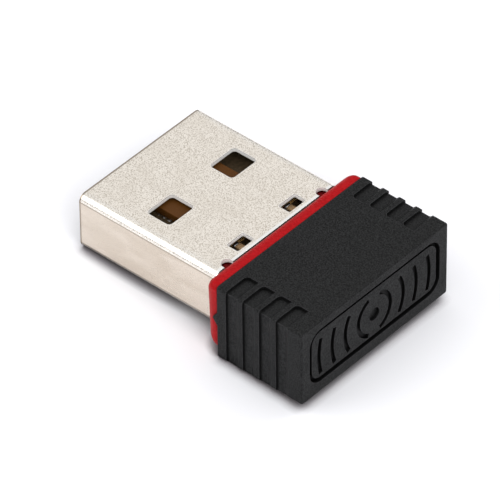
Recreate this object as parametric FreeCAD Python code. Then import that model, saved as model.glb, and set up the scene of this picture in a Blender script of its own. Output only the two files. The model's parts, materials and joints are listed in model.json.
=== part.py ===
import FreeCAD, Part
import math
import os

# USB Wi-Fi adapter, nano size: a metal USB-A plug with a red bezel and a black end cover behind it.
# Millimetres. +X runs from the mouth of the plug to the end cover's rear face, +Z is up.
# The origin is under the middle of the whole adapter, on the surface that the end cover rests on.

V = FreeCAD.Vector

# Driving dimensions ------------------------------------------------------------------------------
SHELL_WIDTH = 12.0      # plug shell, outside, the standard plug's size
SHELL_HEIGHT = 4.5
SHEET = 0.3             # thickness of the folded steel
SHELL_EXPOSED = 12.0    # from the plug's mouth to the bezel
BEZEL_EXPOSED = 1.2     # visible length of the red bezel
COVER_LENGTH = 7.2
COVER_WIDTH = 14.6
COVER_HEIGHT = 6.05
SHELL_RISE = 1.08       # underside of the plug shell above the end cover's underside

# Stations along X --------------------------------------------------------------------------------
TOTAL_LENGTH = SHELL_EXPOSED + BEZEL_EXPOSED + COVER_LENGTH
MOUTH_X = -TOTAL_LENGTH / 2
BEZEL_X = MOUTH_X + SHELL_EXPOSED
COVER_X = BEZEL_X + BEZEL_EXPOSED
REAR_X = TOTAL_LENGTH / 2

# Plug shell --------------------------------------------------------------------------------------
SHELL_Z0 = SHELL_RISE
SHELL_Z1 = SHELL_RISE + SHELL_HEIGHT
SHELL_FOLD_RADIUS = 0.55
MOUTH_ROUNDING = 0.1
REAR_GAP = 0.06         # between the shell's cut rear edge and the bezel
SHELL_REAR_X = BEZEL_X - REAR_GAP
INNER_HALF = SHELL_WIDTH / 2 - SHEET
INNER_Z0 = SHELL_Z0 + SHEET
INNER_Z1 = SHELL_Z1 - SHEET
WINDOW_LENGTH = 2.04    # retention windows, along X
WINDOW_WIDTH = 2.5
WINDOW_FROM_MOUTH = 4.45
WINDOW_Y = 3.1
WINDOW_RADIUS = 0.3
SLOT_LENGTH = 1.0       # small slots near the bezel
SLOT_WIDTH = 1.63
SLOT_FROM_MOUTH = 10.56
SLOT_Y = 2.56
SLOT_RADIUS = 0.12
NOTCH_RADIUS = 0.43     # round-ended notches in the cut rear edge
NOTCH_DEPTH = 0.55
NOTCH_Y = 4.7
SEAM_GAP = 0.05         # folded seam along the underside
SEAM_KEY_X = (-5.6, -3.6, -0.6, 1.0)
SEAM_KEY_WIDTH = 1.1
SEAM_KEY_FLARE = 0.3
LEG_Z = (3.4, 4.87)     # side legs that run back through the bezel to the board
LEG_END_X = 5.2

# Red bezel ---------------------------------------------------------------------------------------
RIM_INSET = 0.02        # how far the bezel's rim lies inside the end cover's outline
RIM_TOP_CORNER = 0.45
RIM_LOW_CORNER = 1.2
RIM_LEAN = 0.03        # share of its half width by which the rim leans in at its foot
RIM_FRONT_ROUNDING = 0.8
RIM_SECTIONS = 8        # outlines that the rounded front is lofted through
NOSE_LENGTH = 0.42      # part of the bezel that enters the plug shell
NOSE_FIT = 0.05
TONGUE_LENGTH = 0.8     # longer tongues of the nose, under the shell's two rear notches
TONGUE_WIDTH = 1.0
TONGUE_THICK = 0.4
SLEEVE_LENGTH = 1.2     # part of the bezel that enters the end cover
SLEEVE_FIT = 0.05
PASSAGE_HALF = 6.03     # opening that the board and the shell's legs pass through
PASSAGE_Z = (3.37, 4.9)
POCKET_HALF = 5.2       # moulding pocket behind the rim
POCKET_Z = (1.6, 2.8)
POCKET_X = 2.5
LUG_SIZE = (0.5, 0.12, 1.6)
LUG_X = 3.4
LUG_FIT = 0.04

# Black end cover ---------------------------------------------------------------------------------
COVER_CORNER = 0.2
COVER_REAR_ROUNDING = 0.12
SIDE_WALL = 0.9
FLAT_WALL = 0.85
CAVITY_CORNER = 0.5
CAVITY_END_X = 8.9
RIB_PITCH = 1.42        # grip pockets on both sides and along both edges of the upper face
POCKET_COUNT = 4
FIRST_POCKET_X = 3.74
POCKET_FLOOR = 0.78
POCKET_LENGTH = 1.05
POCKET_SIDE_DEPTH = 0.14
POCKET_TOP_DEPTH = 0.2
POCKET_INNER_Y = 5.2
TAB_HEIGHT = 1.1        # triangular keys that bite into the bezel's rim
TAB_REACH = 0.42
TAB_Z = 3.26
TAB_INNER_Y = 6.6
TAB_FIT = 0.03
RECESS_HALF = 6.5       # recess in the rear face
RECESS_Z = (0.9, 5.38)
RECESS_CORNER = 1.15
RECESS_DEPTH = 0.08
GROOVE_WIDTH = 0.3      # a groove that follows the recess just inside its edge
GROOVE_DEPTH = 0.3
MARK_DEPTH = 0.22       # engraved radio-wave motif in the recess
MARK_STROKE = 0.36
MARK_Z = 2.95
MARK_RADII = (1.6, 2.9, 4.2, 5.5)
MARK_HALF_HEIGHT = 1.5
MARK_DOT_RADIUS = 0.5
GUIDE_REACH = 0.4       # ledges inside the cover that hold the board's tail
GUIDE_THICK = 0.45
GUIDE_X = 5.6
GUIDE_GAP = 0.05

# Board and contacts ------------------------------------------------------------------------------
CONTACT_PLANE = INNER_Z0 + 1.95
CONTACT_THICK = 0.12
CONTACT_WIDTH = 1.0
CONTACT_REAR_X = -1.2
POWER_CONTACT_LENGTH = 7.41
DATA_CONTACT_LENGTH = 6.41
POWER_Y = 3.5
DATA_Y = 1.0
BOARD_Z0 = CONTACT_PLANE + CONTACT_THICK
BOARD_THICK = 1.0
BOARD_Z1 = BOARD_Z0 + BOARD_THICK
BOARD_FRONT_X = MOUTH_X + 0.6
BOARD_NECK_X = 1.25
BOARD_TAIL_X = 5.4
BOARD_END_X = 8.5
BOARD_HALVES = (5.3, 5.65, 5.9)
BOARD_CORNER = 0.4

# Black tray that holds the board inside the plug --------------------------------------------------
TRAY_FRONT_X = MOUTH_X + 0.3
TRAY_HALF = 5.65
TRAY_TOP = INNER_Z1 - 0.06
TRAY_CORNER = 0.25
TRAY_BACK_X = (-0.3, 1.2)
TRAY_BAR_END_X = -8.2
TRAY_FIT = 0.05

# Parts on the board ------------------------------------------------------------------------------
CHIP_SIZE = 6.0
CHIP_HEIGHT = 0.65
CHIP_X = -3.4
LEAD_COUNT = 11
LEAD_PITCH = 0.5
LEAD_SIZE = (0.24, 0.45, 0.06)
LEAD_OUTSIDE = 0.12
CHIP_PAD = 3.8
CRYSTAL_SIZE = (2.0, 2.5, 0.3)
CRYSTAL_LID = (1.7, 2.2, 0.35)
CRYSTAL_AT = (5.75, -4.0)
CRYSTAL_ROUNDING = 0.15
SMALL_CHIP = (1.0, 0.5, 0.35)
SMALL_CAP = 0.22
CAPACITORS_AT = ((0.55, 2.9), (0.55, -2.2), (4.9, 3.2), (4.9, 2.2), (4.9, 1.2))
RESISTORS_AT = ((0.55, 2.2), (0.55, -2.9), (4.9, -0.6), (4.9, -1.5))
INDUCTOR_SIZE = (2.0, 1.6, 1.0)
INDUCTOR_CAP = 0.4
INDUCTOR_AT = (6.6, 3.0)
FILTER_SIZE = (1.6, 0.8, 0.6)
FILTER_CAP = 0.3
FILTER_AT = (5.15, 4.6)
REGULATOR_SIZE = (1.6, 2.9, 1.0)
REGULATOR_AT = (6.8, -1.2)
REGULATOR_LIFT = 0.1
GULL_PITCH = 0.95
GULL_WIDTH = 0.35
GULL_REACH = 0.55
GULL_THICK = 0.15
ANTENNA_X = (7.0, 8.2)
ANTENNA_HALF = 5.0
ANTENNA_PITCH = 0.8
ANTENNA_LINE = 0.25
COPPER_THICK = 0.05
GROUND_STRIP_X = (-0.2, 0.0)
GROUND_STRIP_HALF = 4.9
TEST_PAD_RADIUS = 0.45
TEST_PADS_AT = ((4.4, -4.2), (4.4, -2.6), (4.4, -1.0), (4.4, 0.6), (4.4, 2.2))
SOLDER_LENGTH = 0.8
SOLDER_SIZE = 0.4
SHELL_SOLDER_X = 4.3


# Shapes that several pieces use ------------------------------------------------------------------
def block(x0, x1, y0, y1, z0, z1):
    """A box between two corners."""
    return Part.makeBox(x1 - x0, y1 - y0, z1 - z0, V(x0, y0, z0))


def centred_block(x, y, z0, size):
    """A box of the given size, centred on x and y, standing on z0."""
    return block(x - size[0] / 2, x + size[0] / 2, y - size[1] / 2, y + size[1] / 2, z0, z0 + size[2])


def rounded_outline(x, half, z0, z1, radius, low_radius, lean=0):
    """A rectangle across X as a closed wire: one radius above, one below, sides that may lean in below."""
    y, r, q = half, radius, low_radius
    k, m = (value * (1 - math.sqrt(0.5)) for value in (r, q))

    def at(across, up):
        return V(x, across * (1 - lean * (z1 - up) / (z1 - z0)), up)

    top = Part.LineSegment(at(-y + r, z1), at(y - r, z1))
    top_right = Part.Arc(at(y - r, z1), at(y - k, z1 - k), at(y, z1 - r))
    right = Part.LineSegment(at(y, z1 - r), at(y, z0 + q))
    low_right = Part.Arc(at(y, z0 + q), at(y - m, z0 + m), at(y - q, z0))
    low = Part.LineSegment(at(y - q, z0), at(-y + q, z0))
    low_left = Part.Arc(at(-y + q, z0), at(-y + m, z0 + m), at(-y, z0 + q))
    left = Part.LineSegment(at(-y, z0 + q), at(-y, z1 - r))
    top_left = Part.Arc(at(-y, z1 - r), at(-y + k, z1 - k), at(-y + r, z1))
    around = (top, top_right, right, low_right, low, low_left, left, top_left)
    return Part.Wire([curve.toShape() for curve in around])


def rounded_bar(x0, x1, half, z0, z1, radius, low_radius=None, lean=0):
    """A bar along X with a rounded rectangular section."""
    outline = rounded_outline(x0, half, z0, z1, radius, low_radius or radius, lean)
    return Part.Face(outline).extrude(V(x1 - x0, 0, 0))


def edges_at_x(shape, x):
    """The edges of a shape that lie in one plane across X."""
    near = 1e-6
    return [e for e in shape.Edges if all(abs(v.X - x) < near for v in e.Vertexes)
            and abs(e.BoundBox.XLength) < 1e-4]


def upright_edges(shape):
    """The straight edges of a box that run along Z."""
    near = 1e-6
    return [e for e in shape.Edges if e.BoundBox.XLength < near and e.BoundBox.YLength < near]


def rounded_hole(x, y, length, width, z0, z1, radius):
    """A cutter for a rounded rectangular hole through a horizontal wall."""
    cutter = block(x - length / 2, x + length / 2, y - width / 2, y + width / 2, z0, z1)
    return cutter.makeFillet(radius, upright_edges(cutter))


def prism(points, direction):
    """A solid from a flat polygon swept along a vector."""
    wire = Part.makePolygon([V(*p) for p in points] + [V(*points[0])])
    return Part.Face(wire).extrude(V(*direction))


def chip_ends(x, y, z0, size, cap):
    """The two metal ends of a chip part that lies along X."""
    inner = size[0] / 2 - cap
    outer = size[0] / 2
    half = size[1] / 2
    z1 = z0 + size[2]
    return [block(x - outer, x - inner, y - half, y + half, z0, z1),
            block(x + inner, x + outer, y - half, y + half, z0, z1)]


def chip_body(x, y, z0, size, cap):
    """The ceramic middle of a chip part, between its metal ends."""
    return centred_block(x, y, z0, (size[0] - 2 * cap, size[1], size[2]))


def save(name, shapes):
    """Writes one sub-part: a single solid, or a group of separate solids."""
    group = shapes if isinstance(shapes, list) else [shapes]
    solids = [solid for shape in group for solid in shape.Solids]
    part = solids[0] if len(solids) == 1 else Part.makeCompound(solids)
    part.exportStep("parts/" + name + ".step")
    print(name, len(solids), "solid(s)", round(part.Volume, 3), "mm3")


# Plug shell --------------------------------------------------------------------------------------
def seam_cutter():
    """A thin zigzag slit along the underside, with two dovetail keys."""
    a, b, c, d = SEAM_KEY_X
    out, flare = SEAM_KEY_WIDTH, SEAM_KEY_FLARE
    path = [(MOUTH_X - 1, 0), (a, 0), (a - flare, out), (b + flare, out), (b, 0),
            (c, 0), (c - flare, -out), (d + flare, -out), (d, 0), (SHELL_REAR_X + 1, 0)]
    slits = []
    for (x0, y0), (x1, y1) in zip(path, path[1:]):
        length = math.hypot(x1 - x0, y1 - y0) + SEAM_GAP
        slit = Part.makeBox(length, SEAM_GAP, 3 * SHEET, V(-SEAM_GAP / 2, -SEAM_GAP / 2, -SHEET))
        slit.rotate(V(0, 0, 0), V(0, 0, 1), math.degrees(math.atan2(y1 - y0, x1 - x0)))
        slit.translate(V(x0, y0, SHELL_Z0))
        slits.append(slit)
    return slits


def shell_openings():
    """Retention windows on both faces, small slots and rear notches on the upper face."""
    cutters = []
    window_x = MOUTH_X + WINDOW_FROM_MOUTH + WINDOW_LENGTH / 2
    slot_x = MOUTH_X + SLOT_FROM_MOUTH + SLOT_LENGTH / 2
    for side in (-1, 1):
        for z in (SHELL_Z0, SHELL_Z1):
            cutters.append(rounded_hole(window_x, side * WINDOW_Y, WINDOW_LENGTH, WINDOW_WIDTH,
                                        z - 2 * SHEET, z + 2 * SHEET, WINDOW_RADIUS))
        cutters.append(rounded_hole(slot_x, side * SLOT_Y, SLOT_LENGTH, SLOT_WIDTH,
                                    SHELL_Z1 - 2 * SHEET, SHELL_Z1 + SHEET, SLOT_RADIUS))
        notch_x, y, z = SHELL_REAR_X - NOTCH_DEPTH + NOTCH_RADIUS, side * NOTCH_Y, SHELL_Z1 - 2 * SHEET
        cutters.append(Part.makeCylinder(NOTCH_RADIUS, 3 * SHEET, V(notch_x, y, z)))
        cutters.append(block(notch_x, SHELL_REAR_X + 1, y - NOTCH_RADIUS, y + NOTCH_RADIUS, z, z + 3 * SHEET))
    return cutters


def plug_shell():
    """Folded nickel-plated steel tube with windows, slots, notches, a seam and two legs."""
    tube = rounded_bar(MOUTH_X, SHELL_REAR_X, SHELL_WIDTH / 2, SHELL_Z0, SHELL_Z1, SHELL_FOLD_RADIUS)
    tube = tube.makeFillet(MOUTH_ROUNDING, edges_at_x(tube, MOUTH_X))
    bore = rounded_bar(MOUTH_X - 1, SHELL_REAR_X + 1, INNER_HALF, INNER_Z0, INNER_Z1,
                       SHELL_FOLD_RADIUS - SHEET)
    tube = tube.cut([bore] + shell_openings() + seam_cutter())
    legs = [block(SHELL_REAR_X - 0.5, LEG_END_X, side * INNER_HALF + min(side, 0) * SHEET,
                  side * INNER_HALF + max(side, 0) * SHEET, *LEG_Z) for side in (-1, 1)]
    return tube.fuse(legs).removeSplitter()


# Red bezel ---------------------------------------------------------------------------------------
def tab_wedge(side, fit):
    """A triangular key on one side, grown by a fit so that it can also cut its own seat."""
    half = TAB_HEIGHT / 2 + 2 * fit
    inner = side * (TAB_INNER_Y - fit)
    depth = side * (COVER_WIDTH / 2 - TAB_INNER_Y + 2 * fit)
    points = [(COVER_X + fit, inner, TAB_Z - half), (COVER_X + fit, inner, TAB_Z + half),
              (COVER_X - TAB_REACH - fit, inner, TAB_Z)]
    return prism(points, (0, depth, 0))


def lug(side, fit):
    """A snap lug on one side of the bezel's sleeve, grown by a fit to cut its groove."""
    face = COVER_WIDTH / 2 - SIDE_WALL - SLEEVE_FIT
    length, proud, height = LUG_SIZE
    middle = (SHELL_Z0 + SHELL_Z1) / 2
    y0, y1 = sorted((side * (face - fit), side * (face + proud + fit)))
    return block(LUG_X - fit, LUG_X + length + fit, y0, y1,
                 middle - height / 2 - fit, middle + height / 2 + fit)


def bezel_rim():
    """The visible ring: outlines that grow along a quarter circle, with the same corners all the way."""
    half, low, high = COVER_WIDTH / 2 - RIM_INSET, RIM_INSET, COVER_HEIGHT - RIM_INSET
    full = BEZEL_X + RIM_FRONT_ROUNDING
    outlines = []
    for i in range(RIM_SECTIONS):
        angle = i / (RIM_SECTIONS - 1) * math.pi / 2
        x = full - RIM_FRONT_ROUNDING * math.cos(angle)
        inset = RIM_FRONT_ROUNDING * (1 - math.sin(angle))
        outlines.append(rounded_outline(x, half - inset, low + inset, high - inset,
                                        RIM_TOP_CORNER, RIM_LOW_CORNER, RIM_LEAN))
    front = Part.makeLoft(outlines, True, True)
    rear = rounded_bar(full, COVER_X, half, low, high, RIM_TOP_CORNER, RIM_LOW_CORNER, RIM_LEAN)
    return front.fuse(rear)


def nose_tongues():
    """Two tongues of the nose that close the shell's rear notches from below."""
    top = INNER_Z1 - NOSE_FIT
    half = TONGUE_WIDTH / 2
    return [block(BEZEL_X - TONGUE_LENGTH, BEZEL_X, side * NOTCH_Y - half, side * NOTCH_Y + half,
                  top - TONGUE_THICK, top) for side in (-1, 1)]


def bezel():
    """Red inner frame: a rounded rim with a nose into the plug and a sleeve into the cover."""
    nose = rounded_bar(BEZEL_X - NOSE_LENGTH, BEZEL_X + 0.1, INNER_HALF - NOSE_FIT,
                       INNER_Z0 + NOSE_FIT, INNER_Z1 - NOSE_FIT, SHELL_FOLD_RADIUS - SHEET)
    sleeve = rounded_bar(COVER_X - 0.1, COVER_X + SLEEVE_LENGTH,
                         COVER_WIDTH / 2 - SIDE_WALL - SLEEVE_FIT, FLAT_WALL + SLEEVE_FIT,
                         COVER_HEIGHT - FLAT_WALL - SLEEVE_FIT, CAVITY_CORNER)
    passage = block(BEZEL_X - 1, COVER_X + SLEEVE_LENGTH + 1, -PASSAGE_HALF, PASSAGE_HALF, *PASSAGE_Z)
    pocket = block(POCKET_X, COVER_X + SLEEVE_LENGTH + 1, -POCKET_HALF, POCKET_HALF, *POCKET_Z)
    seats = [tab_wedge(side, TAB_FIT) for side in (-1, 1)]
    lugs = [lug(side, 0) for side in (-1, 1)]
    frame = bezel_rim().fuse([nose, sleeve] + nose_tongues() + lugs)
    return frame.cut([passage, pocket] + seats).removeSplitter()


# Black end cover ---------------------------------------------------------------------------------
def grip_pocket(x):
    """Cutters for one pocket on each side: a flat floor behind a step, then a ramp back up."""
    half, margin = COVER_WIDTH / 2, 1.0
    floor_end, end = x + POCKET_FLOOR, x + POCKET_LENGTH
    top, floor = COVER_HEIGHT, COVER_HEIGHT - POCKET_TOP_DEPTH
    cutters = []
    for side in (-1, 1):
        wall, back = side * half, side * (half - POCKET_SIDE_DEPTH)
        outside = side * (half + margin)
        flank = [(x, outside, -margin), (x, back, -margin), (floor_end, back, -margin),
                 (end, wall, -margin), (end, outside, -margin)]
        cutters.append(prism(flank, (0, 0, COVER_HEIGHT + 2 * margin)))
        start = side * POCKET_INNER_Y
        crown = [(x, start, top + margin), (x, start, floor), (floor_end, start, floor),
                 (end, start, top), (end, start, top + margin)]
        cutters.append(prism(crown, (0, outside - start, 0)))
    return cutters


def wave_mark(radius, side):
    """One engraved arc of the radio-wave motif, as a cutter."""
    reach = math.asin(MARK_HALF_HEIGHT / radius)
    inner, outer = radius - MARK_STROKE / 2, radius + MARK_STROKE / 2

    def at(r, angle):
        return V(REAR_X - RECESS_DEPTH - MARK_DEPTH, side * r * math.cos(angle),
                 MARK_Z + r * math.sin(angle))

    curves = [Part.Arc(at(inner, -reach), at(inner, 0), at(inner, reach)),
              Part.LineSegment(at(inner, reach), at(outer, reach)),
              Part.Arc(at(outer, reach), at(outer, 0), at(outer, -reach)),
              Part.LineSegment(at(outer, -reach), at(inner, -reach))]
    face = Part.Face(Part.Wire([curve.toShape() for curve in curves]))
    return face.extrude(V(RECESS_DEPTH + MARK_DEPTH, 0, 0))


def rear_recess():
    """Cutters for the rear face: a rounded recess, the groove around it, an engraved dot and arcs."""
    floor_x = REAR_X - RECESS_DEPTH
    z0, z1 = RECESS_Z
    island = rounded_bar(floor_x - 1, REAR_X + 1, RECESS_HALF - GROOVE_WIDTH, z0 + GROOVE_WIDTH,
                         z1 - GROOVE_WIDTH, RECESS_CORNER - GROOVE_WIDTH)
    groove = rounded_bar(floor_x - GROOVE_DEPTH, REAR_X + 1, RECESS_HALF, z0, z1, RECESS_CORNER)
    cutters = [rounded_bar(floor_x, REAR_X + 1, RECESS_HALF, z0, z1, RECESS_CORNER), groove.cut(island)]
    dot_base = V(REAR_X - RECESS_DEPTH - MARK_DEPTH, 0, MARK_Z)
    cutters.append(Part.makeCylinder(MARK_DOT_RADIUS, RECESS_DEPTH + MARK_DEPTH, dot_base, V(1, 0, 0)))
    for side in (-1, 1):
        cutters += [wave_mark(radius, side) for radius in MARK_RADII]
    return cutters


def board_guides():
    """Ledges on the cover's inner side walls, above and below the board's tail."""
    guides = []
    for side in (-1, 1):
        wall = COVER_WIDTH / 2 - SIDE_WALL
        y0, y1 = sorted((side * (wall - GUIDE_REACH - 0.35), side * (wall + 0.1)))
        for z0 in (BOARD_Z0 - GUIDE_GAP - GUIDE_THICK, BOARD_Z1 + GUIDE_GAP):
            guides.append(block(GUIDE_X, CAVITY_END_X + 0.1, y0, y1, z0, z0 + GUIDE_THICK))
    return guides


def end_cover():
    """Black moulded cap with grip pockets, a recessed rear face and ledges for the board."""
    cap = rounded_bar(COVER_X, REAR_X, COVER_WIDTH / 2, 0, COVER_HEIGHT, COVER_CORNER)
    cap = cap.makeFillet(COVER_REAR_ROUNDING, edges_at_x(cap, REAR_X))
    cavity = rounded_bar(COVER_X - 1, CAVITY_END_X, COVER_WIDTH / 2 - SIDE_WALL, FLAT_WALL,
                         COVER_HEIGHT - FLAT_WALL, CAVITY_CORNER)
    cutters = [cavity] + rear_recess()
    cutters += [lug(side, LUG_FIT) for side in (-1, 1)]
    for i in range(POCKET_COUNT):
        cutters += grip_pocket(FIRST_POCKET_X + i * RIB_PITCH)
    tabs = [tab_wedge(side, 0) for side in (-1, 1)]
    return cap.cut(cutters).fuse(board_guides() + tabs).removeSplitter()


# Board, tray and contacts ------------------------------------------------------------------------
def circuit_board():
    """Glass-epoxy board: narrow in the plug, wider through the bezel, widest in the cover."""
    front, neck, tail = BOARD_HALVES
    pieces = [block(BOARD_FRONT_X, BOARD_NECK_X, -front, front, BOARD_Z0, BOARD_Z1),
              block(BOARD_NECK_X, BOARD_TAIL_X, -neck, neck, BOARD_Z0, BOARD_Z1),
              block(BOARD_TAIL_X, BOARD_END_X, -tail, tail, BOARD_Z0, BOARD_Z1)]
    board = pieces[0].fuse(pieces[1:]).removeSplitter()
    ends = (BOARD_FRONT_X, BOARD_END_X)
    corners = [e for e in upright_edges(board) if min(abs(e.BoundBox.XMin - x) for x in ends) < 1e-6]
    return board.makeFillet(BOARD_CORNER, corners)


def board_tray():
    """Black insulator: side rails, a front bar that props the board, and a back wall."""
    rail = BOARD_HALVES[0] + TRAY_FIT
    back0, back1 = TRAY_BACK_X
    front_bar_end = BOARD_FRONT_X - TRAY_FIT
    floor = INNER_Z0 + TRAY_FIT
    pieces = [block(TRAY_FRONT_X, front_bar_end, -TRAY_HALF, TRAY_HALF, BOARD_Z0, TRAY_TOP),
              block(front_bar_end, TRAY_BAR_END_X, -TRAY_HALF, TRAY_HALF, BOARD_Z1 + TRAY_FIT, TRAY_TOP),
              block(back0, back1, -TRAY_HALF, TRAY_HALF, floor, BOARD_Z0 - TRAY_FIT)]
    for side in (-1, 1):
        y0, y1 = sorted((side * rail, side * TRAY_HALF))
        pieces.append(block(TRAY_FRONT_X, back1, y0, y1, BOARD_Z0, TRAY_TOP))
        pieces.append(block(back0, back1, y0, y1, floor, TRAY_TOP))
    bore = rounded_bar(TRAY_FRONT_X, back1, TRAY_HALF, floor, TRAY_TOP, TRAY_CORNER)
    return pieces[0].fuse(pieces[1:]).common(bore).removeSplitter()


def contact(y, length):
    """One gold-plated strip under the board, with a rounded front end."""
    radius = CONTACT_WIDTH / 2
    front = CONTACT_REAR_X - length
    strip = block(front + radius, CONTACT_REAR_X, y - radius, y + radius, CONTACT_PLANE, BOARD_Z0)
    end = Part.makeCylinder(radius, CONTACT_THICK, V(front + radius, y, CONTACT_PLANE))
    return strip.fuse(end).removeSplitter()


def contacts():
    """The plug's contacts by name, in the standard order across the board."""
    return {"contact_vbus": contact(-POWER_Y, POWER_CONTACT_LENGTH),
            "contact_data_minus": contact(-DATA_Y, DATA_CONTACT_LENGTH),
            "contact_data_plus": contact(DATA_Y, DATA_CONTACT_LENGTH),
            "contact_ground": contact(POWER_Y, POWER_CONTACT_LENGTH)}


# Radio chip --------------------------------------------------------------------------------------
def wifi_chip():
    """Moulded radio chip, standing on its leads."""
    body_z = BOARD_Z1 + LEAD_SIZE[2]
    return centred_block(CHIP_X, 0, body_z, (CHIP_SIZE, CHIP_SIZE, CHIP_HEIGHT - LEAD_SIZE[2]))


def wifi_chip_leads():
    """Leads along the chip's four sides, and the heat pad under its middle."""
    width, length, height = LEAD_SIZE
    edge = CHIP_SIZE / 2 + LEAD_OUTSIDE - length / 2
    solids = [centred_block(CHIP_X, 0, BOARD_Z1, (CHIP_PAD, CHIP_PAD, height))]
    for i in range(LEAD_COUNT):
        along = (i - (LEAD_COUNT - 1) / 2) * LEAD_PITCH
        for side in (-1, 1):
            solids.append(centred_block(CHIP_X + along, side * edge, BOARD_Z1, (width, length, height)))
            solids.append(centred_block(CHIP_X + side * edge, along, BOARD_Z1, (length, width, height)))
    return solids


# Other parts on the board ------------------------------------------------------------------------
def crystal_base():
    """Ceramic base of the clock crystal."""
    return centred_block(*CRYSTAL_AT, BOARD_Z1, CRYSTAL_SIZE)


def crystal_lid():
    """Metal lid of the clock crystal."""
    lid = centred_block(*CRYSTAL_AT, BOARD_Z1 + CRYSTAL_SIZE[2], CRYSTAL_LID)
    return lid.makeFillet(CRYSTAL_ROUNDING, upright_edges(lid))


def regulator():
    """Voltage regulator under the board's tail."""
    x, y = REGULATOR_AT
    top = BOARD_Z0 - REGULATOR_LIFT
    return centred_block(x, y, top - REGULATOR_SIZE[2], REGULATOR_SIZE)


def regulator_leads():
    """Five bent leads: a flat by the package, a drop to the board and a foot."""
    x, y = REGULATOR_AT
    half = REGULATOR_SIZE[0] / 2
    low = BOARD_Z0 - REGULATOR_LIFT - REGULATOR_SIZE[2] / 2
    t, reach = GULL_THICK, GULL_REACH
    solids = []
    for side, places in ((-1, (-1, 0, 1)), (1, (-1, 1))):
        for place in places:
            y0 = y + place * GULL_PITCH - GULL_WIDTH / 2
            s = x + side * half
            points = [(s, y0, low), (s + side * (t + 0.1), y0, low),
                      (s + side * (t + 0.1), y0, BOARD_Z0 - t), (s + side * reach, y0, BOARD_Z0 - t),
                      (s + side * reach, y0, BOARD_Z0), (s + side * 0.1, y0, BOARD_Z0),
                      (s + side * 0.1, y0, low + t), (s, y0, low + t)]
            solids.append(prism(points, (0, GULL_WIDTH, 0)))
    return solids


def antenna_trace():
    """Printed copper antenna: one meander line along the board's rear edge."""
    x0, x1 = ANTENNA_X
    z0, z1 = BOARD_Z1, BOARD_Z1 + COPPER_THICK
    count = int(2 * ANTENNA_HALF / ANTENNA_PITCH)
    start = -count * ANTENNA_PITCH / 2
    line = block(x0, x1, start, start + ANTENNA_LINE, z0, z1)
    turns = []
    for i in range(count):
        y = start + i * ANTENNA_PITCH
        end = y + ANTENNA_PITCH
        turns.append(block(x0, x1, end, end + ANTENNA_LINE, z0, z1))
        x = x1 - ANTENNA_LINE if i % 2 == 0 else x0
        turns.append(block(x, x + ANTENNA_LINE, y, end + ANTENNA_LINE, z0, z1))
    return line.fuse(turns).removeSplitter()


def ground_strip():
    """Bare gold strip across the board under the shell's slots."""
    return block(*GROUND_STRIP_X, -GROUND_STRIP_HALF, GROUND_STRIP_HALF, BOARD_Z1, BOARD_Z1 + COPPER_THICK)


def test_pads():
    """Round gold pads under the board, used when the adapter is programmed."""
    return [Part.makeCylinder(TEST_PAD_RADIUS, COPPER_THICK, V(x, y, BOARD_Z0 - COPPER_THICK))
            for x, y in TEST_PADS_AT]


def shell_solder_joints():
    """Solder fillets that tie the shell's two legs to the board."""
    joints = []
    for side in (-1, 1):
        face = side * INNER_HALF
        points = [(SHELL_SOLDER_X, face, BOARD_Z1), (SHELL_SOLDER_X, face - side * SOLDER_SIZE, BOARD_Z1),
                  (SHELL_SOLDER_X, face, BOARD_Z1 + SOLDER_SIZE)]
        joints.append(prism(points, (SOLDER_LENGTH, 0, 0)))
    return joints


def chip_group(places, z0, size, cap):
    """Bodies and metal ends of chip parts of one size."""
    bodies = [chip_body(x, y, z0, size, cap) for x, y in places]
    ends = [end for x, y in places for end in chip_ends(x, y, z0, size, cap)]
    return bodies, ends


# Everything, one file for each sub-part ----------------------------------------------------------
def main():
    os.makedirs("parts", exist_ok=True)
    save("plug_shell", plug_shell())
    save("bezel", bezel())
    save("end_cover", end_cover())
    save("circuit_board", circuit_board())
    save("board_tray", board_tray())
    for name, strip in contacts().items():
        save(name, strip)
    save("wifi_chip", wifi_chip())
    save("wifi_chip_leads", wifi_chip_leads())
    save("crystal_base", crystal_base())
    save("crystal_lid", crystal_lid())
    save("regulator", regulator())
    save("regulator_leads", regulator_leads())
    save("antenna_trace", antenna_trace())
    save("ground_strip", ground_strip())
    save("test_pads", test_pads())
    save("shell_solder_joints", shell_solder_joints())
    groups = (("capacitors", "capacitor_ends", CAPACITORS_AT, BOARD_Z1, SMALL_CHIP, SMALL_CAP),
              ("resistors", "resistor_ends", RESISTORS_AT, BOARD_Z1, SMALL_CHIP, SMALL_CAP),
              ("rf_filter", "rf_filter_ends", (FILTER_AT,), BOARD_Z1, FILTER_SIZE, FILTER_CAP),
              ("power_inductor", "power_inductor_ends", (INDUCTOR_AT,), BOARD_Z0 - INDUCTOR_SIZE[2],
               INDUCTOR_SIZE, INDUCTOR_CAP))
    for body_name, ends_name, places, z0, size, cap in groups:
        bodies, ends = chip_group(places, z0, size, cap)
        save(body_name, bodies)
        save(ends_name, ends)


main()
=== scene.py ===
# %% [markdown]
# # A nano USB Wi-Fi adapter
# A metal USB plug, a red bezel and a short black end cover, about 20 mm long in all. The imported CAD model
# gives every piece its place. This lesson remakes the three pieces that the eye meets first, and the ones
# that show through the plug's windows, with finer edges, and then gives everything a finish.

# %% The frame and the units
import json
import math

import bmesh
import bpy
from mathutils import Matrix, Vector


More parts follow.
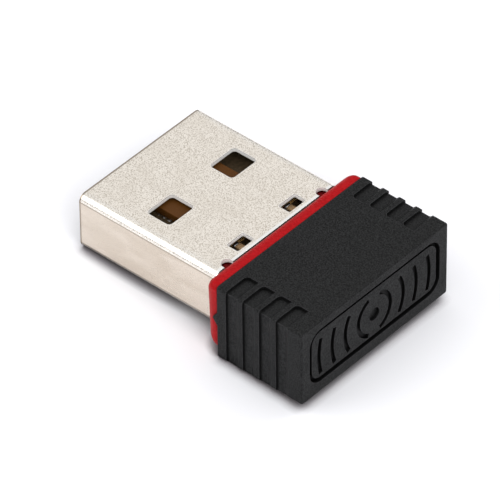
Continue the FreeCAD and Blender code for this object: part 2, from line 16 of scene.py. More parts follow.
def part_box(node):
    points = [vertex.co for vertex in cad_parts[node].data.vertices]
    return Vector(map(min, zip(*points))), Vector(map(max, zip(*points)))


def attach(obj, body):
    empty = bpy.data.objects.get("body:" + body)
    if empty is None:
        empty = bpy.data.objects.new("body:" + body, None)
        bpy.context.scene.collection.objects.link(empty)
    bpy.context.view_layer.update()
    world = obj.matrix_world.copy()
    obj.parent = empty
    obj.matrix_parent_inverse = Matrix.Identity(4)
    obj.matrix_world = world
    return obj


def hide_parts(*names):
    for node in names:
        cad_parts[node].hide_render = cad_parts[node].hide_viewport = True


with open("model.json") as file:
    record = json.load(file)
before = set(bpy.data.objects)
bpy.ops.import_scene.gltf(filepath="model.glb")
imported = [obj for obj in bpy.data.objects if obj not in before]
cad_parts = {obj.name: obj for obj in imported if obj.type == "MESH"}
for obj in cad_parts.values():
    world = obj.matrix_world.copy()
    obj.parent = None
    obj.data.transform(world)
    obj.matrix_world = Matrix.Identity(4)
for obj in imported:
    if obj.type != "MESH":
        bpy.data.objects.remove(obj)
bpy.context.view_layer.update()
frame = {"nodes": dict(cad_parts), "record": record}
NODES = frame["nodes"]
MM = 0.001
NEAR = 0.01
TINY = 1e-4

# %% [markdown]
# The adapter is so small that metres make clumsy numbers. Each mesh is modelled in millimetres, and
# `finish_piece` scales it to metres once, at the end. `box_mm` reads a CAD node's box in the same unit, so
# every outline below starts from the frame and not from a number typed twice. Only the shell's own size
# is typed, because its node's box also holds its solder legs. NEAR and TINY are the two tolerances, in
# millimetres: one picks out points beside a line, and the other merges points that should be one.


# %% Reading the frame in millimetres
def box_mm(node):
    """Lowest and highest corners of a CAD node, in millimetres."""
    low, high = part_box(node)
    return low / MM, high / MM


_, cover_high = box_mm("end_cover")
shell_low, shell_high = box_mm("plug_shell")
_, bezel_high = box_mm("bezel")
REAR_X = cover_high.x
MOUTH_X = shell_low.x
COVER_HALF = cover_high.y
COVER_TOP = cover_high.z
SHELL_HALF = 6.0
SHELL_Z0, SHELL_Z1 = 1.08, 5.58
SHELL_EXPOSED = 12.0
BEZEL_EXPOSED = 1.2
BEZEL_X = MOUTH_X + SHELL_EXPOSED
COVER_X = BEZEL_X + BEZEL_EXPOSED
print("mouth at", round(MOUTH_X, 2), "bezel at", round(BEZEL_X, 2), "cover at", round(COVER_X, 2))

# %% [markdown]
# ## Tools for solids
# A moulded or folded part is mostly one bar with rounded long edges, with other bars cut out of it. A
# cube, scaled and bevelled along its four long edges, gives that bar. The cuts could be made by hand, loop
# by loop, but the exact Boolean does it cleanly on such simple solids, so `combined` wraps it: it hangs
# the tools on a temporary object, reads back the evaluated mesh, and clears up.


# %% Bars, blocks and cylinders
def block(x0, x1, y0, y1, z0, z1):
    """A box between two corners, as a bmesh."""
    bm = bmesh.new()
    bmesh.ops.create_cube(bm, size=1.0)
    bmesh.ops.scale(bm, vec=(x1 - x0, y1 - y0, z1 - z0), verts=bm.verts)
    bmesh.ops.translate(bm, vec=((x0 + x1) / 2, (y0 + y1) / 2, (z0 + z1) / 2), verts=bm.verts)
    return bm


def round_edges(bm, radius, segments, chosen):
    """Rounds the edges that a test picks."""
    edges = [e for e in bm.edges if chosen(*(v.co for v in e.verts))]
    bmesh.ops.bevel(bm, geom=edges, offset=radius, offset_type="OFFSET", segments=segments,
                    profile=0.5, affect="EDGES", material=-1, clamp_overlap=False)
    return bm


def along(axis):
    """A test for edges that run along one axis (0, 1 or 2 for X, Y or Z)."""
    def chosen(a, b):
        run = b - a
        return abs(run[axis]) > 0.999 * run.length
    return chosen


def across_x(x):
    """A test for edges that lie in the plane across X at x."""
    def chosen(a, b):
        return abs(a.x - x) < TINY and abs(b.x - x) < TINY
    return chosen


def rounded_bar(x0, x1, half, z0, z1, radius, segments=6):
    """A bar along X whose long edges are rounded."""
    return round_edges(block(x0, x1, -half, half, z0, z1), radius, segments, along(0))


def cylinder(centre, axis, radius, depth, segments=48):
    """A closed cylinder centred on a point."""
    bm = bmesh.new()
    turn = Vector((0, 0, 1)).rotation_difference(Vector(axis)).to_matrix().to_4x4()
    place = Matrix.Translation(centre) @ turn
    bmesh.ops.create_cone(bm, cap_ends=True, segments=segments, radius1=radius, radius2=radius,
                          depth=depth, matrix=place)
    return bm


def prism(corners, sweep):
    """A flat polygon pushed along a vector."""
    bm = bmesh.new()
    face = bm.faces.new([bm.verts.new(corner) for corner in corners])
    swept = bmesh.ops.extrude_face_region(bm, geom=[face])["geom"]
    bmesh.ops.translate(bm, vec=sweep, verts=[v for v in swept if isinstance(v, bmesh.types.BMVert)])
    return bm


# %% Booleans on throw-away objects
def loose_object(bm):
    """A temporary object that holds a bmesh, which is freed."""
    mesh = bpy.data.meshes.new("loose")
    bmesh.ops.recalc_face_normals(bm, faces=bm.faces)
    bm.to_mesh(mesh)
    bm.free()
    thing = bpy.data.objects.new("loose", mesh)
    bpy.context.scene.collection.objects.link(thing)
    return thing


def combined(solid, tools, operation="DIFFERENCE"):
    """The solid after an exact Boolean with each tool in turn."""
    body = loose_object(solid)
    helpers = [loose_object(tool) for tool in tools]
    for helper in helpers:
        step = body.modifiers.new("step", "BOOLEAN")
        step.operation = operation
        step.solver = "EXACT"
        step.object = helper
    done = body.evaluated_get(bpy.context.evaluated_depsgraph_get())
    bm = bmesh.new()
    bm.from_mesh(done.to_mesh())
    for thing in [body] + helpers:
        mesh = thing.data
        bpy.data.objects.remove(thing)
        bpy.data.meshes.remove(mesh)
    bmesh.ops.remove_doubles(bm, verts=bm.verts, dist=TINY)
    bmesh.ops.dissolve_degenerate(bm, dist=TINY, edges=bm.edges)
    return bm


# %% [markdown]
# ## Finishing a piece
# No edge of a real part is perfectly sharp: moulded edges are a few hundredths of a millimetre round, and
# that is what catches the light. A Bevel modifier rounds every edge above an angle, and a Weighted Normal
# modifier lets the flat faces stay flat while the narrow bevels carry the turn.


# %% From bmesh to finished piece
def finish_piece(bm, name, node, edge_radius, segments=3, angle=28):
    """Scales a mesh to metres, smooths it, rounds its edges and lets it stand for a CAD node."""
    bmesh.ops.recalc_face_normals(bm, faces=bm.faces)
    bmesh.ops.scale(bm, vec=(MM, MM, MM), verts=bm.verts)
    for face in bm.faces:
        face.smooth = True
    mesh = bpy.data.meshes.new(name)
    bm.to_mesh(mesh)
    bm.free()
    piece = bpy.data.objects.new(name, mesh)
    bpy.context.scene.collection.objects.link(piece)
    edges = piece.modifiers.new("edges", "BEVEL")
    edges.width = edge_radius * MM
    edges.segments = segments
    edges.limit_method = "ANGLE"
    edges.angle_limit = math.radians(angle)
    edges.miter_outer = "MITER_ARC"
    edges.use_clamp_overlap = True
    normals = piece.modifiers.new("normals", "WEIGHTED_NORMAL")
    normals.keep_sharp = True
    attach(piece, "root")
    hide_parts(node)
    print(name, "has", len(mesh.polygons), "faces before its modifiers")
    return piece


# %% [markdown]
# ## The plug shell
# The shell is one strip of steel, 0.3 mm thick, folded round into a tube and locked by a dovetail seam on
# its underside. It is nickel plated. Two big windows take the socket's latch springs, two small slots and
# two round-ended notches sit near its rear edge. It is a rounded tube here, and every opening is cut right
# through the sheet, because the bright cut walls are what makes the metal look like metal. The punch draws
# each rim down a little, so the rims are rolled with a bevel, and at the rear it is flattened to a slope.

# %% Sizes of the shell's openings
SHEET = 0.3
FOLD_RADIUS = 0.55
REAR_GAP = 0.06
SHELL_REAR_X = BEZEL_X - REAR_GAP
WINDOW = (2.04, 2.5, 0.3)
WINDOW_AT = (MOUTH_X + 5.47, 3.1)
SLOT = (1.0, 1.63, 0.12)
SLOT_AT = (MOUTH_X + 11.06, 2.56)
NOTCH_RADIUS = 0.43
NOTCH_DEPTH = 0.55
NOTCH_Y = 4.7
LEG_ROOT = 0.5
LEG_Z = (3.4, 4.87)


def hole_tool(centre, size, z):
    """A cutter with rounded upright edges for one opening in a wide face."""
    length, width, radius = size
    x, y = centre
    tool = block(x - length / 2, x + length / 2, y - width / 2, y + width / 2, z - 2 * SHEET, z + 2 * SHEET)
    return round_edges(tool, radius, 6, along(2))


# %% Seam along the underside
SEAM_GAP = 0.05
SEAM_KEYS = ((-5.6, -3.6, 1.1), (-0.6, 1.0, -1.1))
SEAM_FLARE = 0.3


def notch_tool(side):
    """A cutter for a notch: a block whose round end is two bevels that meet in the middle."""
    tip, centre = SHELL_REAR_X - NOTCH_DEPTH, side * NOTCH_Y
    tool = block(tip, SHELL_REAR_X + 1, centre - NOTCH_RADIUS, centre + NOTCH_RADIUS,
                 SHELL_Z1 - 1.5 * SHEET, SHELL_Z1 + 1.5 * SHEET)
    upright = along(2)
    tool = round_edges(tool, NOTCH_RADIUS, 10, lambda a, b: upright(a, b) and a.x < tip + NEAR)
    bmesh.ops.remove_doubles(tool, verts=tool.verts, dist=TINY)
    return tool


def seam_tools():
    """Thin upright plates that follow the dovetail seam."""
    path = [Vector((MOUTH_X - 1, 0, SHELL_Z0))]
    for start, end, out in SEAM_KEYS:
        path += [Vector((start, 0, SHELL_Z0)), Vector((start - SEAM_FLARE, out, SHELL_Z0)),
                 Vector((end + SEAM_FLARE, out, SHELL_Z0)), Vector((end, 0, SHELL_Z0))]
    path.append(Vector((SHELL_REAR_X + 1, 0, SHELL_Z0)))
    tools = []
    for start, end in zip(path, path[1:]):
        run = end - start
        reach = run.length / 2 + SEAM_GAP / 2
        plate = block(-reach, reach, -SEAM_GAP / 2, SEAM_GAP / 2, -2 * SHEET, 2 * SHEET)
        turn = Matrix.Rotation(math.atan2(run.y, run.x), 4, "Z")
        bmesh.ops.transform(plate, matrix=Matrix.Translation((start + end) / 2) @ turn, verts=plate.verts)
        tools.append(plate)
    return tools


# %% Rolled rims of the openings
ROLLED_RIM = 0.12
ROLLED_END = 0.2
ROLLED_END_DEPTH = 0.07


def depth_in_shell(point):
    """How far a point lies inside the shell's outer skin, from the formula of a rounded rectangle."""
    across = abs(point.y) - (SHELL_HALF - FOLD_RADIUS)
    upward = abs(point.z - (SHELL_Z0 + SHELL_Z1) / 2) - ((SHELL_Z1 - SHELL_Z0) / 2 - FOLD_RADIUS)
    outside = math.hypot(max(across, 0), max(upward, 0))
    return FOLD_RADIUS - outside - min(max(across, upward), 0)


def roll_rims(bm, radius, chosen):
    """Rounds the outer rims of the openings that a test picks, as the punch leaves them."""
    bmesh.ops.recalc_face_normals(bm, faces=bm.faces)
    rims = []
    for edge in bm.edges:
        on_skin = all(abs(depth_in_shell(v.co)) < 0.002 and v.co.z > SHELL_Z0 + 0.05 for v in edge.verts)
        if on_skin and len(edge.link_faces) == 2 and edge.calc_face_angle() > 1.0:
            if all(chosen(v.co) for v in edge.verts):
                rims.append(edge)
    bmesh.ops.bevel(bm, geom=rims, offset=radius, offset_type="OFFSET", segments=5, profile=0.5,
                    affect="EDGES", material=-1, clamp_overlap=True)
    print("rolled rims:", len(rims), "edges")
    return bm


def shallow(bm, radius, share):
    """Lifts a rolled rim back towards the skin, so it becomes the gentle slope that a punch draws."""
    for vert in bm.verts:
        depth = depth_in_shell(vert.co)
        if 0.002 < depth < radius + 0.002:
            centre = (SHELL_Z0 + SHELL_Z1) / 2
            across = max(abs(vert.co.y) - (SHELL_HALF - FOLD_RADIUS), 0)
            upward = max(abs(vert.co.z - centre) - ((SHELL_Z1 - SHELL_Z0) / 2 - FOLD_RADIUS), 0)
            reach = math.hypot(across, upward)
            lift = depth * (1 - share) / reach
            vert.co.y += math.copysign(across * lift, vert.co.y)
            vert.co.z += math.copysign(upward * lift, vert.co.z - centre)
    return bm


def at_rear(point):
    """The shell's rear end, with its notches."""
    in_line = abs(abs(point.y) - NOTCH_Y) < NOTCH_RADIUS + NEAR
    in_notch = in_line and point.x > SHELL_REAR_X - NOTCH_DEPTH - NEAR
    return in_notch or abs(point.x - SHELL_REAR_X) < NEAR


def elsewhere(point):
    """The mouth, the windows and the slots."""
    return not at_rear(point)


# %% The folded shell
def shell_piece():
    """The plug shell with windows, slots, notches, seam and side legs."""
    tube = rounded_bar(MOUTH_X, SHELL_REAR_X, SHELL_HALF, SHELL_Z0, SHELL_Z1, FOLD_RADIUS, 8)
    legs = []
    for side in (-1, 1):
        walls = sorted((side * (SHELL_HALF - SHEET), side * SHELL_HALF))
        legs.append(block(SHELL_REAR_X - LEG_ROOT, shell_high.x, *walls, *LEG_Z))
    tube = combined(tube, legs, "UNION")
    bore = rounded_bar(MOUTH_X - 1, SHELL_REAR_X + 9, SHELL_HALF - SHEET, SHELL_Z0 + SHEET,
                       SHELL_Z1 - SHEET, FOLD_RADIUS - SHEET, 8)
    tools = [bore]
    for side in (-1, 1):
        window_x, window_y = WINDOW_AT
        slot_x, slot_y = SLOT_AT
        tools += [hole_tool((window_x, side * window_y), WINDOW, z) for z in (SHELL_Z0, SHELL_Z1)]
        tools.append(hole_tool((slot_x, side * slot_y), SLOT, SHELL_Z1))
        tools.append(notch_tool(side))
    opened = roll_rims(combined(tube, tools), ROLLED_END, at_rear)
    opened = shallow(opened, ROLLED_END, ROLLED_END_DEPTH / ROLLED_END)
    opened = roll_rims(opened, ROLLED_RIM, elsewhere)
    return finish_piece(combined(opened, seam_tools()), "folded_shell", "plug_shell", 0.02)


shell = shell_piece()

# %% [markdown]
# ## The red bezel
# The bezel is an inner frame of red ABS. What shows is its rim, a fat rounded ring between the plug and the
# cover, and a sliver of its nose under the shell's two rear notches. The rim has a large front rounding,
# so the light slides over it, and two small vee seats where the cover's keys bite in. Bevels that differ
# in size pinch each other where three edges meet, so the rim is a stack of rounded outlines, bridged in
# pairs, whose inset follows a quarter circle.

# %% The visible rim
RIM_INSET = 0.02
RIM_TOP_CORNER = 0.45
RIM_LOW_CORNER = 1.2
RIM_LEAN = 0.03
RIM_FRONT = 0.8
RIM_BACK = 0.12
RIM_STEPS = 10
RIM_BACK_STEPS = 4
CORNER_STEPS = 10


def rim_loop(bm, x, inset):
    """A rounded rectangle across X, with bigger corners below and sides that lean in towards its foot."""
    half, low, high = COVER_HALF - RIM_INSET - inset, RIM_INSET + inset, COVER_TOP - RIM_INSET - inset
    loop = []
    for quarter in range(4):
        radius = RIM_TOP_CORNER if quarter < 2 else RIM_LOW_CORNER
        centre_y = (half - radius) * (1 if quarter in (0, 3) else -1)
        centre_z = high - radius if quarter < 2 else low + radius
        for i in range(CORNER_STEPS + 1):
            angle = (quarter + i / CORNER_STEPS) * math.pi / 2
            z = centre_z + radius * math.sin(angle)
            narrower = 1 - RIM_LEAN * (high - z) / (high - low)
            loop.append(bm.verts.new((x, (centre_y + radius * math.cos(angle)) * narrower, z)))
    return [bm.edges.new((loop[i - 1], loop[i])) for i in range(len(loop))]


def rim_solid():
    """Loops that grow along a quarter circle at the front and shrink along a small one at the back."""
    bm = bmesh.new()
    places = []
    for i in range(RIM_STEPS + 1):
        angle = i / RIM_STEPS * math.pi / 2
        places.append((BEZEL_X + RIM_FRONT * (1 - math.cos(angle)), RIM_FRONT * (1 - math.sin(angle))))
    for i in range(RIM_BACK_STEPS + 1):
        angle = i / RIM_BACK_STEPS * math.pi / 2
        places.append((COVER_X - RIM_BACK * (1 - math.sin(angle)), RIM_BACK * (1 - math.cos(angle))))
    loops = [rim_loop(bm, *place) for place in places]
    for one, other in zip(loops, loops[1:]):
        bmesh.ops.bridge_loops(bm, edges=one + other)
    for ends in (loops[0], loops[-1]):
        bmesh.ops.contextual_create(bm, geom=ends)
    print("rim:", len(loops), "loops,", len(bm.faces), "faces")
    return bm


# %% Nose, sleeve and key seats
NOSE_LENGTH = 0.42
TONGUE = (0.8, 1.0, 0.4)
FIT = 0.05
PASSAGE = (6.03, 3.37, 4.9)
KEY_HALF = 0.55
KEY_REACH = 0.42
KEY_Z = 3.26
KEY_INNER = 6.6
KEY_FIT = 0.03
SIDE_WALL = 0.9
FLAT_WALL = 0.85
INNER_CORNER = 0.5
NOSE_ROOT = 0.9
TONGUE_ROOT = 0.5
SLEEVE_ROOT = 0.3


def key_tool(side, fit):
    """A triangular key on one side of the joint between cover and bezel."""
    inner, outer = side * (KEY_INNER - fit), side * (COVER_HALF + fit)
    half = KEY_HALF + 2 * fit
    base = COVER_X + 0.01 + fit
    corners = [(base, inner, KEY_Z - half), (base, inner, KEY_Z + half),
               (COVER_X - KEY_REACH - fit, inner, KEY_Z)]
    return prism(corners, (0, outer - inner, 0))


def bezel_piece():
    """The red inner frame."""
    nose_top = SHELL_Z1 - SHEET - FIT
    nose = rounded_bar(BEZEL_X - NOSE_LENGTH, BEZEL_X + NOSE_ROOT, SHELL_HALF - SHEET - FIT,
                       SHELL_Z0 + SHEET + FIT, nose_top, FOLD_RADIUS - SHEET, 4)
    length, width, thick = TONGUE
    tongues = []
    for centre in (-NOTCH_Y, NOTCH_Y):
        tongues.append(block(BEZEL_X - length, BEZEL_X + TONGUE_ROOT, centre - width / 2,
                             centre + width / 2, nose_top - thick, nose_top))
    sleeve = rounded_bar(COVER_X - SLEEVE_ROOT, bezel_high.x, COVER_HALF - SIDE_WALL - FIT,
                         FLAT_WALL + FIT, COVER_TOP - FLAT_WALL - FIT, INNER_CORNER, 4)
    frame_solid = combined(rim_solid(), [nose, sleeve] + tongues, "UNION")
    half, z0, z1 = PASSAGE
    passage = block(BEZEL_X - 1, bezel_high.x + 1, -half, half, z0, z1)
    seats = [key_tool(side, KEY_FIT) for side in (-1, 1)]
    return finish_piece(combined(frame_solid, [passage] + seats), "red_bezel", "bezel",
                        0.04, 2, 35)


bezel = bezel_piece()

# %% [markdown]
# ## The black end cover
# The cover is a shallow cap of black ABS with a fine spark-eroded texture. Its grip is four pockets on each
# side wall and four on each edge of the upper face: each starts with a step, runs flat and ramps back up,
# so the lands between them feel like ribs. A pocket's cutter is its own profile, pushed through the wall.

# %% Grip pockets
COVER_CORNER = 0.2
COVER_REAR = 0.12
CAVITY_END = 8.9
POCKET_X = tuple(3.74 + 1.42 * i for i in range(4))
POCKET_FLOOR = 0.78
POCKET_LENGTH = 1.05
POCKET_SIDE_DEPTH = 0.14
POCKET_TOP_DEPTH = 0.2
POCKET_INNER = 5.2
POCKET_CORNER = 0.3


def pocket_tools(x, side):
    """Two cutters that meet at the cover's long edge: one for its side wall, one for its upper face."""
    floor_end, end = x + POCKET_FLOOR, x + POCKET_LENGTH
    outside, wall = side * (COVER_HALF + 1), side * COVER_HALF
    back, start = side * (COVER_HALF - POCKET_SIDE_DEPTH), side * POCKET_INNER
    flank = [(x, outside, -1), (x, back, -1), (floor_end, back, -1), (end, wall, -1), (end, outside, -1)]
    above, floor = COVER_TOP + 1, COVER_TOP - POCKET_TOP_DEPTH
    crown = [(x, start, above), (x, start, floor), (floor_end, start, floor), (end, start, COVER_TOP),
             (end, start, above)]
    upright = along(2)
    crown_tool = round_edges(prism(crown, (0, outside - start, 0)), POCKET_CORNER, 5,
                             lambda a, b: upright(a, b) and abs(a.x - x) < NEAR and abs(a.y - start) < NEAR)
    return [prism(flank, (0, 0, COVER_TOP + 2)), crown_tool]


# %% [markdown]
# The rear face has a wide shallow recess. The engraving in it is a plain radio-wave sign: a dot between
# two sets of arcs. An arc is a small rectangle spun about the sign's centre, which makes a closed groove
# cutter of even width.

# %% Rear recess and engraved sign
RECESS_HALF = 6.5
RECESS_Z = (0.9, 5.38)
RECESS_CORNER = 1.15
RECESS_DEPTH = 0.08
GROOVE = (0.3, 0.3)
SIGN_Z = 2.95
SIGN_RADII = (1.6, 2.9, 4.2, 5.5)
SIGN_HALF_HEIGHT = 1.5
SIGN_STROKE = 0.36
SIGN_DEPTH = 0.22
SIGN_DOT = 0.5


def arc_tool(radius, side):
    """A cutter for one arc of the sign, spun about the X axis."""
    reach = math.asin(SIGN_HALF_HEIGHT / radius)
    x0, x1 = REAR_X - RECESS_DEPTH - SIGN_DEPTH, REAR_X
    r0, r1 = radius - SIGN_STROKE / 2, radius + SIGN_STROKE / 2
    bm = bmesh.new()
    corners = [(x0, r0), (x1, r0), (x1, r1), (x0, r1)]
    face = bm.faces.new([bm.verts.new((x, side * r, SIGN_Z)) for x, r in corners])
    centre = (0, 0, SIGN_Z)
    bmesh.ops.rotate(bm, cent=centre, matrix=Matrix.Rotation(-reach, 3, "X"), verts=bm.verts)
    bmesh.ops.spin(bm, geom=[face], cent=centre, axis=(1, 0, 0), angle=2 * reach, steps=24, use_merge=False)
    return bm


def groove_tool():
    """The groove that follows the recess just inside its edge."""
    width, depth = GROOVE
    low, high = RECESS_Z
    whole = rounded_bar(REAR_X - RECESS_DEPTH - depth, REAR_X + 1, RECESS_HALF, low, high,
                        RECESS_CORNER, 12)
    island = rounded_bar(REAR_X - 2, REAR_X + 2, RECESS_HALF - width, low + width, high - width,
                         RECESS_CORNER - width, 12)
    return combined(whole, [island])


def cover_piece():
    """The black cap with pockets, recess, sign and keys."""
    cap = rounded_bar(COVER_X, REAR_X, COVER_HALF, 0, COVER_TOP, COVER_CORNER, 6)
    cap = round_edges(cap, COVER_REAR, 4, across_x(REAR_X))
    cavity = rounded_bar(COVER_X - 1, CAVITY_END, COVER_HALF - SIDE_WALL, FLAT_WALL,
                         COVER_TOP - FLAT_WALL, INNER_CORNER, 4)
    recess = rounded_bar(REAR_X - RECESS_DEPTH, REAR_X + 1, RECESS_HALF, *RECESS_Z, RECESS_CORNER, 12)
    tools = [cavity, recess, groove_tool()]
    for x in POCKET_X:
        tools += pocket_tools(x, -1) + pocket_tools(x, 1)
    deep = RECESS_DEPTH + SIGN_DEPTH
    tools.append(cylinder((REAR_X, 0, SIGN_Z), (1, 0, 0), SIGN_DOT, 2 * deep))
    tools += [arc_tool(radius, side) for side in (-1, 1) for radius in SIGN_RADII]
    cap = combined(cap, tools)
    cap = combined(cap, [key_tool(side, 0) for side in (-1, 1)], "UNION")
    return finish_piece(cap, "ribbed_cover", "end_cover", 0.08, 3, 25)


cover = cover_piece()

# %% [markdown]
# ## The parts inside
# Only glimpses of these show, through the windows and from the mouth, but a real chip or contact has softly
# rounded edges too. Their CAD shapes are right, so each is copied, its loose triangles are merged back into
# flat faces, and its edges are rounded by a fifth of the part's thinnest side.

# %% Softened copies
SOFTEN_SHARE = 0.2
SOFTEN_MOST = 0.05
NAMES_INSIDE = [name for name in NODES if name not in ("plug_shell", "bezel", "end_cover")]
SLOT_OF = {part["node"]: part["material_slot"] for part in frame["record"]["subparts"]}


def softened_copy(node):
    """A copy of a CAD node with merged faces and rounded edges."""
    bm = bmesh.new()
    bm.from_mesh(NODES[node].data)
    bmesh.ops.scale(bm, vec=(1 / MM,) * 3, verts=bm.verts)
    bmesh.ops.remove_doubles(bm, verts=bm.verts, dist=TINY)
    bmesh.ops.dissolve_limit(bm, angle_limit=math.radians(1), verts=bm.verts, edges=bm.edges)
    low, high = box_mm(node)
    radius = min(SOFTEN_MOST, SOFTEN_SHARE * min(high - low))
    return finish_piece(bm, node + "_soft", node, radius, 2, 35)


inside = {name: softened_copy(name) for name in NAMES_INSIDE}

# %% [markdown]
# ## Finishes
# All patterns read Object coordinates scaled to millimetres, so a grain size is a real size. Three
# effects serve more than one finish, so each is a node group: a fine grain, edges lightened as wear and
# as a painted highlight, and painted shade in creases.
# A small class, `Tree`, adds a node and joins its inputs in one line, so each finish reads as a recipe.


# %% A short way to write node trees
class Tree:
    """Adds nodes to a tree and joins them by name."""

    def __init__(self, tree):
        self.tree = tree

    def node(self, kind, values=None, **settings):
        made = self.tree.nodes.new(kind)
        for key, value in settings.items():
            setattr(made, key, value)
        for socket, value in (values or {}).items():
            if isinstance(value, bpy.types.NodeSocket):
                self.tree.links.new(value, made.inputs[socket])
            else:
                made.inputs[socket].default_value = value
        return made

    def math(self, operation, a, b=0.0):
        return self.node("ShaderNodeMath", {0: a, 1: b}, operation=operation).outputs[0]

    def spread(self, value, low, high, new_low=0.0, new_high=1.0):
        """Maps a range of values to another, held at both ends."""
        made = self.node("ShaderNodeMapRange", {0: value, 1: low, 2: high, 3: new_low, 4: new_high})
        return made.outputs[0]

    def blend(self, factor, a, b):
        made = self.node("ShaderNodeMix", {0: factor, 6: a, 7: b}, data_type="RGBA")
        return made.outputs[2]

    def millimetres(self):
        """Object coordinates, in millimetres."""
        place = self.node("ShaderNodeTexCoord").outputs["Object"]
        return self.node("ShaderNodeMapping", {"Vector": place, "Scale": (1 / MM,) * 3}).outputs[0]


def new_group(name, inputs, outputs):
    """A shader node group with named float inputs and named outputs."""
    group = bpy.data.node_groups.new(name, "ShaderNodeTree")
    for label, value in inputs:
        socket = group.interface.new_socket(label, in_out="INPUT", socket_type="NodeSocketFloat")
        socket.default_value = value
    for label in outputs:
        group.interface.new_socket(label, in_out="OUTPUT", socket_type="NodeSocketFloat")
    t = Tree(group)
    return group, t, t.node("NodeGroupInput").outputs, t.node("NodeGroupOutput")


# %% Effect: fine grain
def grain_group():
    """Two sizes of noise: a height for bump and a speckle for colour."""
    group, t, given, out = new_group("Fine Grain", [("Size mm", 0.12)], ["Height", "Speckle", "Cloud"])
    place = t.millimetres()
    fine_scale = t.math("DIVIDE", 1.0, given["Size mm"])
    fine = t.node("ShaderNodeTexNoise", {"Vector": place, "Scale": fine_scale, "Detail": 2.0}).outputs[0]
    wide_scale = t.math("DIVIDE", 0.35, given["Size mm"])
    wide = t.node("ShaderNodeTexNoise", {"Vector": place, "Scale": wide_scale, "Detail": 1.0}).outputs[0]
    cloud = t.node("ShaderNodeTexNoise", {"Vector": place, "Scale": 0.55, "Detail": 3.0}).outputs[0]
    height = t.math("ADD", t.math("MULTIPLY", fine, 0.7), t.math("MULTIPLY", wide, 0.3))
    t.tree.links.new(height, out.inputs["Height"])
    t.tree.links.new(t.spread(fine, 0.35, 0.65), out.inputs["Speckle"])
    t.tree.links.new(t.spread(cloud, 0.35, 0.65), out.inputs["Cloud"])
    return group


GRAIN = grain_group()


# %% Effect: worn edges and painted highlight
def edge_wear_highlight_group():
    """Edges lightened as wear and as a painted highlight: how far a rounded normal turns away from the true
    one, which is large only near edges.
    """
    group, t, given, out = new_group("Worn Edges And Highlight", [("Width mm", 0.1), ("Break up", 0.5)], ["Mask"])
    radius = t.math("MULTIPLY", given["Width mm"], MM)
    soft = t.node("ShaderNodeBevel", {"Radius": radius}, samples=4).outputs[0]
    true = t.node("ShaderNodeNewGeometry").outputs["Normal"]
    turn = t.node("ShaderNodeVectorMath", {0: soft, 1: true}, operation="DOT_PRODUCT").outputs["Value"]
    mask = t.spread(turn, 0.99, 0.85)
    noise = t.node("ShaderNodeTexNoise", {"Vector": t.millimetres(), "Scale": 3.0, "Detail": 4.0}).outputs[0]
    broken = t.math("MULTIPLY", t.spread(noise, 0.4, 0.6), given["Break up"])
    keep = t.math("SUBTRACT", 1.0, broken)
    t.tree.links.new(t.math("MULTIPLY", mask, keep), out.inputs["Mask"])
    return group


EDGES = edge_wear_highlight_group()


# %% Effect: painted shade in creases
def crease_shade_group():
    """Painted shade: dark where surfaces close in on each other, as in a moulded corner or a gap."""
    group, t, given, out = new_group("Painted Crease Shade", [("Reach mm", 0.3), ("Open above", 0.95)], ["Mask"])
    reach = t.math("MULTIPLY", given["Reach mm"], MM)
    open_sky = t.node("ShaderNodeAmbientOcclusion", {"Distance": reach}, samples=8).outputs["AO"]
    closed = t.math("SUBTRACT", given["Open above"], open_sky)
    t.tree.links.new(t.spread(closed, 0.05, 0.5), out.inputs["Mask"])
    return group


CREASE_SHADE = crease_shade_group()


# %% Materials: shared start
def new_material(name):
    """A material with its Principled shader, ready for links."""
    material = bpy.data.materials.new(name)
    material.use_nodes = True
    t = Tree(material.node_tree)
    shader = next(n for n in material.node_tree.nodes if n.type == "BSDF_PRINCIPLED")
    return material, t, shader


def use_group(t, group, **values):
    """Places a group and sets its inputs, with spaces written as underscores."""
    made = t.node("ShaderNodeGroup", node_tree=group)
    for label, value in values.items():
        made.inputs[label.replace("_", " ")].default_value = value
    return made.outputs


def set_bump(t, shader, height, strength, distance_mm):
    bump = t.node("ShaderNodeBump", {"Height": height, "Strength": strength, "Distance": distance_mm * MM})
    t.tree.links.new(bump.outputs[0], shader.inputs["Normal"])


# %% [markdown]
# ### Nickel plate
# The strip's wide faces are plated matte: a fine speckle breaks the reflection into grain. The two narrow
# sides keep the smoother finish of the folding tool, and are painted warmer and darker, with faint swirls,
# as painted reflection and shade. The folds are burnished smoother, and are painted lighter as a painted
# highlight, with a thin dark line along the foot of each as a painted reflection. The lower folds, the
# mouth's edge and the creases carry painted shade, and the edges and the sloped rear end a painted
# highlight. The pattern follows the part's own Y and Z, so these stay on the metal, wherever it is seen
# from.

# %% Nickel
def sheared_mask(t, across, off_middle, half_height):
    """One between the strip's two skins, where the punch has cut through it."""
    sideways = t.math("SUBTRACT", across, SHELL_HALF - FOLD_RADIUS)
    upward = t.math("SUBTRACT", off_middle, half_height - FOLD_RADIUS)
    corner = t.node("ShaderNodeCombineXYZ", {0: t.math("MAXIMUM", sideways, 0.0),
                                             1: t.math("MAXIMUM", upward, 0.0)}).outputs[0]
    outside = t.node("ShaderNodeVectorMath", {0: corner}, operation="LENGTH").outputs["Value"]
    inside_flat = t.math("MINIMUM", t.math("MAXIMUM", sideways, upward), 0.0)
    depth = t.math("SUBTRACT", t.math("SUBTRACT", FOLD_RADIUS, outside), inside_flat)
    return t.math("MULTIPLY", t.spread(depth, 0.02, 0.06), t.spread(depth, SHEET - 0.01, SHEET - 0.03))


